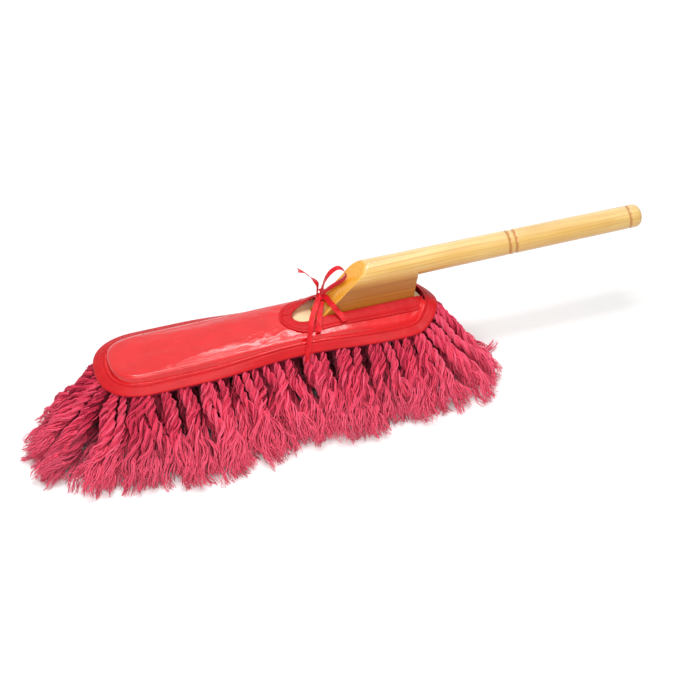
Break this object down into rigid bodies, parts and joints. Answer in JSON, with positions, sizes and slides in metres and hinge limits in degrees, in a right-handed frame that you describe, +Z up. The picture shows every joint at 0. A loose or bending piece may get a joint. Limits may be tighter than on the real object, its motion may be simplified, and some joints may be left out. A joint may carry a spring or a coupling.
{
  "type": "car duster",
  "caption": "Long car duster: a turned wooden handle on a paddle board, in a glossy mop cover with a deep fringe of cotton strands, tied on by a ribbon.",
  "frame": {"origin": "middle of the footprint of the whole duster, on the floor under the strand tips", "axes": "+X from the toe of the mop cover to the butt of the handle, +Y away from the near side, +Z up"},
  "size_m": [0.7192, 0.2608, 0.1398],
  "materials": {
    "lacquered_pine": "clear glossy lacquer over pine",
    "bare_pine": "sanded, unlacquered",
    "zinc_steel": "zinc plated",
    "red_vinyl": "glossy coated cloth",
    "red_tape": "woven folded tape, stitched",
    "backing_cloth": "plain canvas",
    "strand_cotton": "soft twisted cotton yarn",
    "ribbon_satin": "narrow woven ribbon with a soft sheen"
  },
  "bodies": {
    "root": {"handle": "lacquered_pine", "paddle_board": "bare_pine", "neck_screw_1": "zinc_steel", "neck_screw_2": "zinc_steel", "top_panel": "red_vinyl", "slit_binding": "red_tape", "edge_binding": "red_tape", "mop_backing": "backing_cloth", "strands_far": "strand_cotton", "strands_toe": "strand_cotton", "strands_near": "strand_cotton", "strands_heel": "strand_cotton", "strands_under_1": "strand_cotton", "strands_under_2": "strand_cotton", "strands_under_3": "strand_cotton", "tie_knot": "ribbon_satin", "tie_strap_near": "ribbon_satin", "tie_strap_far": "ribbon_satin", "tie_loop_up": "ribbon_satin", "tie_tail_up": "ribbon_satin", "tie_tail_down": "ribbon_satin", "tie_loop_down": "ribbon_satin"}
  },
  "joints": []
}
